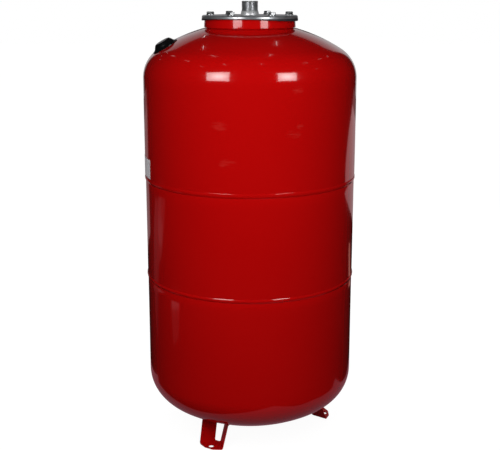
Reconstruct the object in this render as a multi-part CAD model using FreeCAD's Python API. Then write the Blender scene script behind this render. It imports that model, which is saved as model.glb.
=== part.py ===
import FreeCAD, Part
import math
import os

# Vertical expansion tank on three folded legs. Millimetres, +Z up.
# The origin is on the tank's axis, on the floor. Angles are in degrees from +X, seen from above.
V = FreeCAD.Vector
UP = V(0, 0, 1)
ORIGIN = V(0, 0, 0)

# Sheet shells
shell_sheet = 1.5            # wall of the three shells
ring_r = 215.0               # middle ring, outside
upper_step = 1.0             # the upper shell is this much larger in radius than the ring
lower_step = 0.5             # the lower shell is this much smaller
knuckle_r = 68.0             # small radius of both domes, outside
crown_r = 344.0              # large radius of both domes, outside
upper_tangent_z = 742.2      # where the upper wall turns into its dome
lower_tangent_z = 124.5      # where the lower dome turns into its wall

# Lap joints between the shells
upper_lap_z = 540.0          # lower edge of the upper shell
lower_lap_z = 336.0          # lower edge of the middle ring
lap_length = 12.0            # how far a necked end goes in
lap_clearance = 0.1          # radial play of a necked end
neck_in_start = 1.0          # below the lap's edge, where the neck ends
neck_in_length = 2.0         # height of the slope from the neck to the full wall
upper_bead_up = 5.0          # upper bead above its edge
upper_bead_down = 4.0        # upper bead below its edge
upper_bead_proud = 0.8       # upper bead beyond the outer sheet
lower_bead_up = 3.8
lower_bead_down = 3.8
lower_bead_proud = 1.4

# Opening: drawn neck, collar, flange
collar_r = 92.2              # collar, outside
collar_wall = 3.0
collar_draft = 0.8           # the collar is this much narrower at its top
collar_plate = 5.0           # thickness of the sealing face
collar_stand = 19.05         # sealing face above the dome, where the collar meets the dome
collar_groove = 2.05         # lower edge of the collar above the dome there
collar_face = 28.2           # width of the sealing face, from the bore to the outside
collar_edge_r = 2.0
neck_clearance = 0.1         # collar over the drawn neck
neck_fillet = 1.5
collar_bead = 1.6            # leg of the hidden bead
lip_thick = 3.5              # clamped edge of the membrane
lip_inset = 1.2              # the lip ends this much inside the collar
flange_thick = 3.0
flange_overhang = 4.95       # rim beyond the collar, at the rim's lower edge
rim_draft = 0.7              # the rim is this much narrower at the top
rim_corner_r = 3.6           # outer bend between plate and rim
rim_depth = 8.9              # plate's top face to the rim's lower edge, on average
rim_edge_r = 0.8             # rounding of the rim's lower edge
rim_wave = 2.4               # the drawn rim's lower edge rises and falls by this much
rim_waves = 2                # ears of the drawn rim
rim_high_angle = 251.0       # where the rim is shallowest

# Water nipple, 1 inch pipe thread
thread_r = 16.62             # over the thread's crests
thread_length = 19.9
thread_chamfer = 1.2
nipple_bore_r = 13.6
hub_step = 0.78              # hub beyond the thread
hub_flare = 0.8              # the hub widens by this much towards its foot
hub_height = 7.8
spigot_step = 0.22           # part of the nipple inside the flange's hole, short of the thread
spigot_play = 0.1
spigot_below = 2.0           # end of the nipple below the flange
nipple_bead = 2.6            # leg of the bead under the flange

# Flange fasteners, M8
bolt_count = 6
bolt_edge = 13.0             # bolt centres inwards of the collar's outside
bolt_phase = 2.7
bolt_r = 4.0
bolt_length = 25.0
bolt_hole_play = 0.5
hex_flats = 13.0             # across flats, heads and nuts
head_height = 5.3
nut_height = 6.5
thread_play = 0.05           # bolt in nut, radial
washer_r = 8.0
washer_play = 0.2
washer_thick = 1.6
hex_chamfer_deg = 30.0
hex_face_share = 0.95        # round top of a head, as a share of the width across flats

# Membrane bag
bag_wall = 2.5
bag_neck_play = 0.6          # between the bag's neck and the collar's bore
bag_neck_bend = 14.0
bag_neck_length = 20.0       # straight neck below the sealing face
bag_shoulder_r = 105.0
bag_r = 145.0
bag_above_base = 175.0       # between the bag and the lower dome's outer face

# Gas valve on the shoulder, along the dome's normal; heights are above the dome there
valve_angle = 194.0
valve_from_wall = 43.0       # valve's axis inwards of the upper wall
valve_stem_r = 6.0           # in the shell's hole
valve_stem_play = 0.1
valve_inside = 12.0          # stem below the dome's surface
valve_collar_r = 11.0
valve_collar_top = 2.8
valve_shoulder_r = 5.0
valve_shoulder_top = 4.0
valve_thread_r = 3.85
valve_top = 7.8
valve_bore_r = 2.6
core_play = 0.05
core_below = 3.0
core_sunk = 0.6              # core's top below the stem's rim
core_pin_r = 0.7
core_pin_length = 0.9
valve_bead = 1.3
cap_wall = 1.2               # dust cap
cap_above = 1.4              # cap's top above the stem
cap_roof = 1.0
cap_play = 0.05
cap_seat = 0.2               # gap between the cap and the valve's shoulder

# Black cover over the valve
cover_r = 26.9
cover_brim = 1.3
cover_headroom = 0.8         # between the dust cap and the cover's roof
cover_top_r = 12.0
cover_shoulder_r = 17.6
cover_shoulder_drop = 3.1    # shoulder below the cover's top
cover_side_r = 19.6
cover_side_z = 5.6
cover_foot_r = 25.4
cover_wall = 1.4
cover_clip_play = 0.1
cover_clip_wall = 1.4
cover_clip_z = 1.7           # lower end of the clip, above the valve's bead

# Label on the upper shell
label_height = 38.0
label_width = 95.0
label_thick = 0.25
label_glue = 0.2             # adhesive between the label and the shell
label_edge_angle = 204.0     # its vertical edge nearest the front
label_above_bead = 2.5

# Legs: a strap folded up on both sides of the foot
leg_angles = {"front_leg": 241.3, "right_leg": 1.3, "rear_leg": 121.3}
leg_sheet = 2.5
foot_hole_inset = 50.0       # hole inwards of the lower wall
foot_hole_r = 5.5
foot_half_width = 27.0       # at the hole, where the folds start
foot_toe = 9.0               # toe beyond the hole
foot_toe_half = 9.2
foot_depth = 27.5            # from the hole to the foot's inner edge
foot_inner_half = 7.5
arm_lean_deg = 15.5          # arms lean apart, from the vertical
arm_rake_deg = 14.0          # their edges run inwards, from the vertical
fold_inner_r = 2.0
leg_bead_r = 2.0             # radius of the bead along an arm's top

# Sizes that follow from those above
upper_r = ring_r + upper_step
lower_r = ring_r - lower_step
crown_drop = {r: math.sqrt((crown_r - knuckle_r) ** 2 - (r - knuckle_r) ** 2)
              for r in (upper_r, lower_r)}
crown_centre_z = upper_tangent_z - crown_drop[upper_r]
dome_at_collar_z = crown_centre_z + math.sqrt(crown_r ** 2 - collar_r ** 2)
collar_top_z = dome_at_collar_z + collar_stand
collar_bottom_z = dome_at_collar_z + collar_groove
collar_bore_r = collar_r - collar_face
lip_r = collar_r - lip_inset
bolt_circle_r = collar_r - bolt_edge
flange_r = collar_r + flange_overhang
hub_r = thread_r + hub_step
spigot_r = thread_r - spigot_step
bolt_hole_r = bolt_r + bolt_hole_play
washer_hole_r = bolt_r + washer_play
bag_neck_z = collar_top_z - bag_neck_length
bag_bottom_z = lower_tangent_z + crown_drop[lower_r] - crown_r + bag_above_base
valve_from_axis = upper_r - valve_from_wall
cap_r = valve_thread_r + cap_play + cap_wall
cap_top = valve_top + cap_above
cover_height = cap_top + cover_headroom + cover_wall
cover_shoulder_z = cover_height - cover_shoulder_drop
flange_under_z = collar_top_z + lip_thick
flange_top_z = flange_under_z + flange_thick
plate_under_z = collar_top_z - collar_plate
washer_top_z = flange_top_z + washer_thick
foot_hole_from_axis = lower_r - foot_hole_inset
foot_inner_from_axis = foot_hole_from_axis - foot_depth
arm_reach = lower_tangent_z / 2
drawn_neck_r = collar_r - collar_wall - neck_clearance


def line(a, b):
    """Straight edge between two points given as (radius, height)."""
    return Part.LineSegment(V(a[0], 0, a[1]), V(b[0], 0, b[1])).toShape()


def arc(a, mid, b):
    """Circular edge through three points given as (radius, height)."""
    return Part.Arc(V(a[0], 0, a[1]), V(mid[0], 0, mid[1]), V(b[0], 0, b[1])).toShape()


def polyline(*points):
    """Straight edges through the points in order."""
    return [line(a, b) for a, b in zip(points, points[1:])]


def turned(edges, angle=360):
    """Solid of revolution about Z from a closed loop of edges."""
    outline = Part.Wire(Part.__sortEdges__(edges))
    return Part.Face(outline).revolve(ORIGIN, UP, angle)


def turned_polygon(*points):
    """Solid of revolution from a polygon."""
    return turned(polyline(*points, points[0]))


def round_bar(radius, low, high, x=0.0, y=0.0):
    """Upright cylinder between two heights."""
    return Part.makeCylinder(radius, high - low, V(x, y, low), UP)


def circle_point(centre, radius, degrees):
    """Point on a circle in the (radius, height) plane."""
    turn = math.radians(degrees)
    return (centre[0] + radius * math.cos(turn), centre[1] + radius * math.sin(turn))


def dome_edges(wall_r, tangent_z, side, inset, end_r):
    """Knuckle and crown edges of a dome, from its wall to end_r; side is 1 for up, -1 for down.

    inset moves the line inwards from the outer face, so that the inner face is inset by the sheet.
    """
    knuckle = (wall_r - knuckle_r, tangent_z)
    crown = (0.0, tangent_z - side * crown_drop[wall_r])
    meet = math.degrees(math.asin(crown_drop[wall_r] / (crown_r - knuckle_r)))
    small, large = knuckle_r - inset, crown_r - inset
    stop = math.degrees(math.acos(end_r / large))
    start = circle_point(knuckle, small, 0)
    joint = circle_point(knuckle, small, side * meet)
    end = circle_point(crown, large, side * stop)
    small_arc = arc(start, circle_point(knuckle, small, side * meet / 2), joint)
    large_arc = arc(joint, circle_point(crown, large, side * (meet + stop) / 2), end)
    return [small_arc, large_arc], start, end


def dome_height(wall_r, tangent_z, side, from_axis, inset=0.0):
    """Height of a dome's crown at a distance from the axis."""
    centre_z = tangent_z - side * crown_drop[wall_r]
    return centre_z + side * math.sqrt((crown_r - inset) ** 2 - from_axis ** 2)


def full_dome(wall_r, tangent_z, side, inset=0.0):
    """Solid dome with a short wall, used to seat other pieces on the shell's outer face."""
    edges, start, end = dome_edges(wall_r, tangent_z, side, inset, 0.0)
    back = (start[0], tangent_z - side * knuckle_r)
    loop = [line(back, start)] + edges + polyline(end, (0.0, back[1]), back)
    return turned(loop)


def circular_edges(shape, radius, height):
    """The round edges of a shape with a given radius and height."""
    found = []
    for edge in shape.Edges:
        if edge.Degenerated:
            continue
        curve = edge.Curve
        if isinstance(curve, Part.Circle) and abs(curve.Radius - radius) < 0.01:
            if abs(curve.Center.z - height) < 0.01:
                found.append(edge)
    return found


def around(shape, count, phase):
    """Copies of a shape spaced evenly about Z."""
    copies = []
    for i in range(count):
        copy = shape.copy()
        copy.rotate(ORIGIN, UP, phase + i * 360.0 / count)
        copies.append(copy)
    return copies


def bolt_holes(radius, low, high):
    """Round bars on the bolt circle, to cut holes with."""
    return around(round_bar(radius, low, high, x=bolt_circle_r), bolt_count, bolt_phase)


def hex_prism(low, high):
    """Hexagonal bar with its flats facing the axis of the tank and away from it."""
    corner_r = hex_flats / math.sqrt(3)
    corners = [V(corner_r * math.cos(math.radians(30 + 60 * i)),
                 corner_r * math.sin(math.radians(30 + 60 * i)), low) for i in range(7)]
    return Part.Face(Part.makePolygon(corners)).extrude(V(0, 0, high - low))


def chamfered_hex(low, high):
    """Hexagonal bar whose upper corners are turned off at an angle."""
    corner_r = hex_flats / math.sqrt(3)
    flat_r = hex_face_share * hex_flats / 2
    drop = (corner_r - flat_r) * math.tan(math.radians(hex_chamfer_deg))
    turned_off = turned_polygon((0, low), (corner_r, low), (corner_r, high - drop),
                                (flat_r, high), (0, high))
    return hex_prism(low, high).common(turned_off)


def make_upper_shell():
    """Drawn wall, dome and neck, with the hole for the gas valve."""
    outer, outer_start, outer_end = dome_edges(upper_r, upper_tangent_z, 1, 0.0, drawn_neck_r)
    neck_inner_r = drawn_neck_r - shell_sheet
    inner, inner_start, inner_end = dome_edges(upper_r, upper_tangent_z, 1, shell_sheet, neck_inner_r)
    loop = [line((upper_r, upper_lap_z), outer_start)] + outer
    loop += polyline(outer_end, (drawn_neck_r, plate_under_z), (neck_inner_r, plate_under_z), inner_end)
    loop += inner
    loop += polyline(inner_start, (upper_r - shell_sheet, upper_lap_z), (upper_r, upper_lap_z))
    shell = turned(loop)
    shell = shell.makeFillet(neck_fillet, circular_edges(shell, drawn_neck_r, outer_end[1]))
    return shell.cut(on_shoulder(round_bar(valve_stem_r + valve_stem_play, -valve_inside, valve_inside)))


def necked_wall(wall_r, outer_sheet_r, edge_z):
    """Points of a wall that is necked to slip inside the sheet above: outside, then inside."""
    neck_r = outer_sheet_r - shell_sheet - lap_clearance
    slope_top = edge_z - neck_in_start
    slope_foot = slope_top - neck_in_length
    outside = [(wall_r, slope_foot), (neck_r, slope_top), (neck_r, edge_z + lap_length)]
    inside = [(r - shell_sheet, z) for r, z in reversed(outside)]
    return outside, inside


def make_middle_ring():
    """Rolled ring, necked at its top end."""
    outside, inside = necked_wall(ring_r, upper_r, upper_lap_z)
    return turned_polygon((ring_r, lower_lap_z), *outside, *inside, (ring_r - shell_sheet, lower_lap_z))


def make_lower_shell():
    """Drawn dome and wall, necked at its top end."""
    outside, inside = necked_wall(lower_r, ring_r, lower_lap_z)
    outer, outer_start, outer_end = dome_edges(lower_r, lower_tangent_z, -1, 0.0, 0.0)
    inner, inner_start, inner_end = dome_edges(lower_r, lower_tangent_z, -1, shell_sheet, 0.0)
    loop = outer + polyline(outer_start, *outside, *inside, inner_start) + inner
    loop.append(line(inner_end, outer_end))
    return turned(loop)


def make_girth_weld(outer_r, inner_r, edge_z, up, down, proud):
    """Bead that lies in the corner of a lap joint and swells over both sheets."""
    neck_r = outer_r - shell_sheet - lap_clearance
    slope_top = edge_z - neck_in_start
    top = (outer_r, edge_z + up)
    foot = (inner_r, edge_z - down)
    swell = (outer_r + proud, edge_z + (up - down) / 2)
    loop = polyline(top, (outer_r, edge_z), (neck_r, edge_z), (neck_r, slope_top),
                    (inner_r, slope_top - neck_in_length), foot)
    loop.append(arc(foot, swell, top))
    return turned(loop)


def make_neck_collar():
    """Ring over the drawn neck: a short tapered wall and a thick sealing face with bolt holes."""
    wall_inner = collar_r - collar_wall
    corner = (collar_r - collar_draft - collar_edge_r, collar_top_z - collar_edge_r)
    bend = [circle_point(corner, collar_edge_r, turn) for turn in (0, 45, 90)]
    loop = [line((collar_r, collar_bottom_z), bend[0]), arc(*bend)]
    loop += polyline(bend[2], (collar_bore_r, collar_top_z), (collar_bore_r, plate_under_z),
                     (wall_inner, plate_under_z), (wall_inner, collar_bottom_z),
                     (collar_r, collar_bottom_z))
    return turned(loop).cut(bolt_holes(bolt_hole_r, plate_under_z - 1, collar_top_z + 1))


def make_collar_weld():
    """Hidden bead between the drawn neck and the sealing face."""
    inner_r = drawn_neck_r - shell_sheet
    return turned_polygon((inner_r, plate_under_z), (inner_r - collar_bead, plate_under_z),
                          (inner_r, plate_under_z - collar_bead))


def make_flange_plate():
    """Stamped disc with a turned-down, slightly flared rim whose lower edge has soft ears."""
    top_r = flange_r - rim_draft
    rim_z = flange_top_z - rim_depth
    outer_bend_centre = (top_r - rim_corner_r, flange_top_z - rim_corner_r)
    outer_bend = [circle_point(outer_bend_centre, rim_corner_r, turn) for turn in (90, 45, 0)]
    inner_bend = [circle_point(outer_bend_centre, rim_corner_r - flange_thick, turn) for turn in (0, 45, 90)]
    low_z = rim_z - 2 * rim_wave
    hole_r = spigot_r + spigot_play
    loop = [line((hole_r, flange_top_z), outer_bend[0]), arc(*outer_bend)]
    loop += polyline(outer_bend[2], (flange_r, low_z), (flange_r - flange_thick, low_z), inner_bend[0])
    loop.append(arc(*inner_bend))
    loop += polyline(inner_bend[2], (hole_r, flange_under_z), (hole_r, flange_top_z))
    plate = turned(loop).cut(wavy_floor(rim_z))
    lower_edge = [edge for edge in plate.Edges if is_rim_edge(edge, rim_z)]
    plate = plate.makeFillet(rim_edge_r, lower_edge)
    return plate.cut(bolt_holes(bolt_hole_r, flange_under_z - 1, flange_top_z + 1))


def is_rim_edge(edge, rim_z):
    """Whether an edge is part of the outer line along the rim's lower end."""
    points = [] if edge.Degenerated else edge.discretize(5)
    middle_r = flange_r - flange_thick / 2
    return bool(points) and all(math.hypot(p.x, p.y) > middle_r and p.z < rim_z + rim_wave + 0.01
                                for p in points) and edge.BoundBox.XLength > flange_thick


def wavy_floor(mean_z):
    """Block below the rim whose upper face rises and falls round the axis, to trim the rim with."""
    margin = 2 * rim_wave
    outer, inner = flange_r + margin, flange_r - flange_thick - margin
    steps = rim_waves * 6
    rings = []
    for radius in (outer, inner):
        points = []
        for i in range(steps):
            turn = 2 * math.pi * i / steps
            z = mean_z + rim_wave * math.cos(rim_waves * (turn - math.radians(rim_high_angle)))
            points.append(V(radius * math.cos(turn), radius * math.sin(turn), z))
        curve = Part.BSplineCurve()
        curve.interpolate(points, PeriodicFlag=True)
        rings.append(Part.Wire(curve.toShape()))
    roof = Part.makeRuledSurface(rings[0], rings[1])
    return roof.extrude(UP * -2 * margin)


def make_water_nipple():
    """Turned nipple: spigot in the flange, plain hub, thread at its crest size, and a through bore."""
    hub_top = flange_top_z + hub_height
    top = hub_top + thread_length
    bottom = flange_under_z - spigot_below
    return turned_polygon((nipple_bore_r, bottom), (spigot_r, bottom), (spigot_r, flange_top_z),
                          (hub_r + hub_flare, flange_top_z), (hub_r, hub_top - (hub_r - thread_r)),
                          (thread_r, hub_top), (thread_r, top - thread_chamfer),
                          (thread_r - thread_chamfer, top), (nipple_bore_r, top))


def make_nipple_weld():
    """Bead round the nipple, under the flange."""
    low = flange_under_z - spigot_below
    return turned_polygon((spigot_r, flange_under_z), (spigot_r, low),
                          (spigot_r + nipple_bead, flange_under_z))


def bag_edges(inset):
    """Line of the bag from the flange's underside down to its lowest point, inset by its wall."""
    neck = (collar_bore_r - bag_neck_play + bag_neck_bend, bag_neck_z)
    across = neck[0] - (bag_r - bag_shoulder_r)
    reach = bag_shoulder_r + bag_neck_bend
    slope = math.degrees(math.acos(across / reach))
    shoulder = (bag_r - bag_shoulder_r, bag_neck_z - math.sqrt(reach ** 2 - across ** 2))
    base = (0.0, bag_bottom_z + bag_r)
    neck_arc = [circle_point(neck, bag_neck_bend + inset, 180 + slope * part) for part in (0, 0.5, 1)]
    shoulder_arc = [circle_point(shoulder, bag_shoulder_r - inset, slope * part) for part in (1, 0.5, 0)]
    base_arc = [circle_point(base, bag_r - inset, -90 * part) for part in (0, 0.5, 1)]
    edges = [line((neck_arc[0][0], flange_under_z), neck_arc[0]), arc(*neck_arc), arc(*shoulder_arc)]
    edges += [line(shoulder_arc[2], base_arc[0]), arc(*base_arc)]
    return edges


def make_membrane():
    """Rubber bag with a neck through the collar and a clamped lip with bolt holes."""
    outside, hollow = (turned(edges + polyline(end, (0, flange_under_z), start))
                       for edges, start, end in map(bag_with_ends, (0.0, bag_wall)))
    lip = round_bar(lip_r, collar_top_z, flange_under_z)
    bag = outside.fuse(lip).cut(hollow).removeSplitter()
    return bag.cut(bolt_holes(bolt_hole_r, collar_top_z - 1, flange_under_z + 1))


def bag_with_ends(inset):
    """The bag's line with the points where it starts and ends."""
    start_r = collar_bore_r - bag_neck_play - inset
    return bag_edges(inset), (start_r, flange_under_z), (0, bag_bottom_z + inset)


def on_circle(shape):
    """A shape copied to each place on the bolt circle, as one group of separate solids."""
    moved = shape.copy()
    moved.translate(V(bolt_circle_r, 0, 0))
    return Part.makeCompound(around(moved, bolt_count, bolt_phase))


def make_flange_bolts():
    """Hexagon bolts with a turned-off head."""
    head = chamfered_hex(washer_top_z, washer_top_z + head_height)
    end = washer_top_z - bolt_length
    point = bolt_r / 4
    shank = turned_polygon((0, end), (bolt_r - point, end), (bolt_r, end + point),
                           (bolt_r, washer_top_z), (0, washer_top_z))
    return on_circle(head.fuse(shank).removeSplitter())


def make_bolt_washers():
    """Plain washers between the heads and the flange."""
    return on_circle(turned_polygon((washer_hole_r, flange_top_z), (washer_r, flange_top_z),
                                    (washer_r, washer_top_z), (washer_hole_r, washer_top_z)))


def make_weld_nuts():
    """Hexagon nuts under the sealing face."""
    low = plate_under_z - nut_height
    bore = round_bar(bolt_r + thread_play, low - 1, plate_under_z + 1)
    return on_circle(hex_prism(low, plate_under_z).cut(bore))


def on_shoulder(shape):
    """Puts a shape modelled upright about the origin on the dome, at the gas valve's place."""
    lean = math.degrees(math.asin(valve_from_axis / crown_r))
    moved = shape.copy()
    moved.rotate(ORIGIN, V(0, 1, 0), lean)
    height = dome_height(upper_r, upper_tangent_z, 1, valve_from_axis)
    moved.translate(V(valve_from_axis, 0, height))
    moved.rotate(ORIGIN, UP, valve_angle)
    return moved


def seated(shape):
    """Places a piece on the shoulder and trims its foot to the dome's outer face."""
    return on_shoulder(shape).cut(full_dome(upper_r, upper_tangent_z, 1))


def make_gas_valve_body():
    """Valve stem through the shell, with a round collar that sits on the dome."""
    collar = seated(round_bar(valve_collar_r, -2, valve_collar_top))
    stem = on_shoulder(turned_polygon(
        (0, -valve_inside), (valve_stem_r, -valve_inside), (valve_stem_r, valve_collar_top),
        (valve_shoulder_r, valve_collar_top), (valve_shoulder_r, valve_shoulder_top),
        (valve_thread_r, valve_shoulder_top), (valve_thread_r, valve_top), (0, valve_top)))
    bore = on_shoulder(round_bar(valve_bore_r, -valve_inside - 1, valve_top + 1))
    return collar.fuse(stem).removeSplitter().cut(bore)


def make_gas_valve_core():
    """Spring core in the stem, with its pin."""
    core_r = valve_bore_r - core_play
    top = valve_top - core_sunk
    return on_shoulder(turned_polygon((0, -core_below), (core_r, -core_below), (core_r, top - core_pin_length),
                                      (core_pin_r, top - core_pin_length), (core_pin_r, top), (0, top)))


def make_gas_valve_weld():
    """Bead round the valve's collar."""
    ring = turned_polygon((valve_collar_r, -2), (valve_collar_r + valve_bead, -2),
                          (valve_collar_r + valve_bead, 0), (valve_collar_r, valve_bead))
    return seated(ring)


def make_valve_dust_cap():
    """Screw cap over the stem."""
    inside_r = valve_thread_r + cap_play
    foot = valve_shoulder_top + cap_seat
    return on_shoulder(turned_polygon((inside_r, foot), (cap_r, foot), (cap_r, cap_top - 0.8),
                                      (cap_r - 0.8, cap_top), (0, cap_top), (0, cap_top - cap_roof),
                                      (inside_r, cap_top - cap_roof)))


def cover_outline(inset):
    """Hat-shaped outline of the cover, inset by its wall for the hollow; it ends below the dome."""
    top = (cover_top_r - inset / 2, cover_height - inset)
    shoulder = (cover_shoulder_r - inset, cover_shoulder_z - inset / 2)
    side = (cover_side_r - inset, cover_side_z - inset / 3)
    foot = (cover_foot_r - inset, cover_brim / 2)
    shoulder_mid = ((top[0] + shoulder[0]) / 2 + 0.5, (top[1] + shoulder[1]) / 2 + 0.7)
    flare_mid = ((side[0] + foot[0]) / 2 - 0.9, (side[1] + foot[1]) / 2 - 0.4)
    edges = [line((0, top[1]), top), arc(top, shoulder_mid, shoulder), line(shoulder, side)]
    edges += [arc(side, flare_mid, foot)]
    edges += polyline(foot, (foot[0], -9), (0, -9), (0, top[1]))
    return edges


def make_valve_cover():
    """Hollow black hat with a brim that follows the dome, and a clip ring inside."""
    dome = full_dome(upper_r, upper_tangent_z, 1)
    thicker_dome = full_dome(upper_r, upper_tangent_z, 1, -cover_brim)
    brim = on_shoulder(round_bar(cover_r, -cover_height, cover_height)).common(thicker_dome)
    hat = on_shoulder(turned(cover_outline(0.0)))
    hollow = on_shoulder(turned(cover_outline(cover_wall)))
    clip_r = valve_collar_r + cover_clip_play
    clip = on_shoulder(turned_polygon((clip_r, cover_clip_z), (clip_r + cover_clip_wall, cover_clip_z),
                                      (clip_r + cover_clip_wall, cover_height),
                                      (clip_r, cover_height)))
    return brim.fuse(hat).cut(hollow).fuse(clip.common(hat)).cut(dome).removeSplitter()


def make_rating_label():
    """Thin sheet that follows the upper shell on its adhesive."""
    low = upper_lap_z + upper_bead_up + label_above_bead
    high = low + label_height
    inner_r = upper_r + label_glue
    outer_r = inner_r + label_thick
    sweep = math.degrees(label_width / upper_r)
    label = turned(polyline((inner_r, low), (outer_r, low), (outer_r, high), (inner_r, high),
                            (inner_r, low)), sweep)
    label.rotate(ORIGIN, UP, label_edge_angle - sweep)
    return label


def arm_directions():
    """Directions of the left arm of a leg that lies along +X.

    Gives the fold's two ends, then the directions along the fold, away from the foot in plan,
    up the arm's outer face, up along its slanted edges, and square to its sheet.
    """
    outer = V(foot_hole_from_axis, foot_half_width, 0)
    inner = V(foot_inner_from_axis, foot_inner_half, 0)
    along = (inner - outer).normalize()
    outwards = V(along.y, -along.x, 0)
    lean = math.radians(arm_lean_deg)
    rise = UP * math.cos(lean) + outwards * math.sin(lean)
    edge_way = rise + along * math.tan(math.radians(arm_rake_deg))
    across = outwards * math.cos(lean) - UP * math.sin(lean)
    return outer, inner, along, outwards, rise, edge_way, across


def make_arm(beyond=0.0):
    """Left arm with its bend, before the dome trims it; beyond widens it past both edges."""
    outer, inner, along, outwards, rise, edge_way, across = arm_directions()
    bend_r = fold_inner_r + leg_sheet
    bend_start = bend_setback()
    bend_centre = (-bend_start, bend_r)
    lean = arm_lean_deg
    outside = [circle_point(bend_centre, bend_r, turn) for turn in (-90, -(90 + lean) / 2, -lean)]
    inside = [circle_point(bend_centre, fold_inner_r, turn) for turn in (-lean, -(90 + lean) / 2, -90)]
    run = (arm_reach * math.sin(math.radians(lean)), arm_reach * math.cos(math.radians(lean)))
    outside_top = (outside[2][0] + run[0], outside[2][1] + run[1])
    inside_top = (inside[0][0] + run[0], inside[0][1] + run[1])
    section = [arc(*outside)] + polyline(outside[2], outside_top, inside_top, inside[0])
    section += [arc(*inside), line(inside[2], outside[0])]
    sheet = Part.Face(Part.Wire(Part.__sortEdges__(section)))
    sheet = sheet.extrude(V(0, 2 * arm_reach, 0))
    sheet.translate(V(0, -arm_reach / 2, 0))
    sheet.rotate(ORIGIN, UP, math.degrees(math.atan2(outwards.y, outwards.x)))
    sheet.translate(outer)
    low, high = rise * -bend_start * 2, edge_way * arm_reach
    start, end = outer + rise * bend_start, inner + rise * bend_start
    corners = [outer + low, start, start + high, end + high, end, inner + low]
    side_shift = [along * (-beyond if i < 3 else beyond) for i in range(6)]
    corners = [c + shift for c, shift in zip(corners, side_shift)]
    blank = Part.Face(Part.makePolygon(corners + corners[:1]))
    blank.translate(across * -arm_reach / 2)
    return sheet.common(blank.extrude(across * arm_reach))


def bend_setback():
    """Distance from the sharp corner of the fold to where the bend starts."""
    return (fold_inner_r + leg_sheet) * math.tan(math.radians(90 - arm_lean_deg) / 2)


def both_sides(shape):
    """A shape and its mirror image across the leg's middle plane."""
    return [shape, shape.mirror(ORIGIN, V(0, 1, 0))]


def make_leg(angle):
    """Foot plate with a clipped toe and a fixing hole, and two arms folded up to the dome."""
    outer, inner, along, outwards, rise, edge_way, across = arm_directions()
    back = outwards * -bend_setback()
    toe = foot_hole_from_axis + foot_toe
    left = [inner + back, outer + back, V(toe, foot_toe_half, 0)]
    right = [V(p.x, -p.y, 0) for p in reversed(left)]
    foot = Part.Face(Part.makePolygon(left + right + left[:1])).extrude(UP * leg_sheet)
    leg = foot.fuse(both_sides(make_arm())).removeSplitter()
    leg = leg.cut(round_bar(foot_hole_r, -1, leg_sheet + 1, x=foot_hole_from_axis))
    leg = leg.cut(full_dome(lower_r, lower_tangent_z, -1))
    leg.rotate(ORIGIN, UP, angle)
    return leg


def make_leg_welds(angle):
    """Beads along the outer and inner faces of both arms, where they meet the dome."""
    outer, inner, along, outwards, rise, edge_way, across = arm_directions()
    centre = V(0, 0, lower_tangent_z + crown_drop[lower_r])
    dome = full_dome(lower_r, lower_tangent_z, -1)
    wide_arm = make_arm(beyond=foot_toe)
    beads = []
    for inset in (0, leg_sheet):
        start, end = [meet_sphere(corner - across * inset, edge_way, centre, crown_r)
                      for corner in (outer, inner)]
        face_centre = centre + across * (start - centre).dot(across)
        start_way, end_way = start - face_centre, end - face_centre
        mid_way = (start_way + end_way).normalize() * start_way.Length
        path = Part.Wire(Part.Arc(start, face_centre + mid_way, end).toShape())
        ring = Part.Wire(Part.makeCircle(leg_bead_r, start, across.cross(start_way)))
        bead = path.makePipe(Part.Face(ring))
        beads.append(bead.cut(dome).cut(wide_arm))
    group = Part.makeCompound([s for b in beads for side in both_sides(b) for s in side.Solids])
    group.rotate(ORIGIN, UP, angle)
    return group


def meet_sphere(start, direction, middle, radius):
    """Where a line from start along direction first meets a sphere round middle."""
    step = V(direction).normalize()
    offset = start - middle
    b = offset.dot(step)
    c = offset.dot(offset) - radius ** 2
    return start + step * (-b - math.sqrt(b * b - c))


pieces = {
    "upper_shell": make_upper_shell(),
    "middle_ring": make_middle_ring(),
    "lower_shell": make_lower_shell(),
    "upper_girth_weld": make_girth_weld(upper_r, ring_r, upper_lap_z, upper_bead_up,
                                        upper_bead_down, upper_bead_proud),
    "lower_girth_weld": make_girth_weld(ring_r, lower_r, lower_lap_z, lower_bead_up,
                                        lower_bead_down, lower_bead_proud),
    "neck_collar": make_neck_collar(),
    "collar_weld": make_collar_weld(),
    "flange_plate": make_flange_plate(),
    "water_nipple": make_water_nipple(),
    "nipple_weld": make_nipple_weld(),
    "membrane": make_membrane(),
    "flange_bolts": make_flange_bolts(),
    "bolt_washers": make_bolt_washers(),
    "weld_nuts": make_weld_nuts(),
    "gas_valve_body": make_gas_valve_body(),
    "gas_valve_core": make_gas_valve_core(),
    "gas_valve_weld": make_gas_valve_weld(),
    "valve_dust_cap": make_valve_dust_cap(),
    "valve_cover": make_valve_cover(),
    "rating_label": make_rating_label(),
}
for leg_name, leg_angle in leg_angles.items():
    pieces[leg_name] = make_leg(leg_angle)
    pieces[leg_name + "_welds"] = make_leg_welds(leg_angle)

os.makedirs("parts", exist_ok=True)
for name, shape in pieces.items():
    shape.exportStep("parts/" + name + ".step")
    print(name, len(shape.Solids), "solids", round(shape.Volume / 1000, 2), "cm3", shape.isValid())
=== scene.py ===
import math

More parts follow.
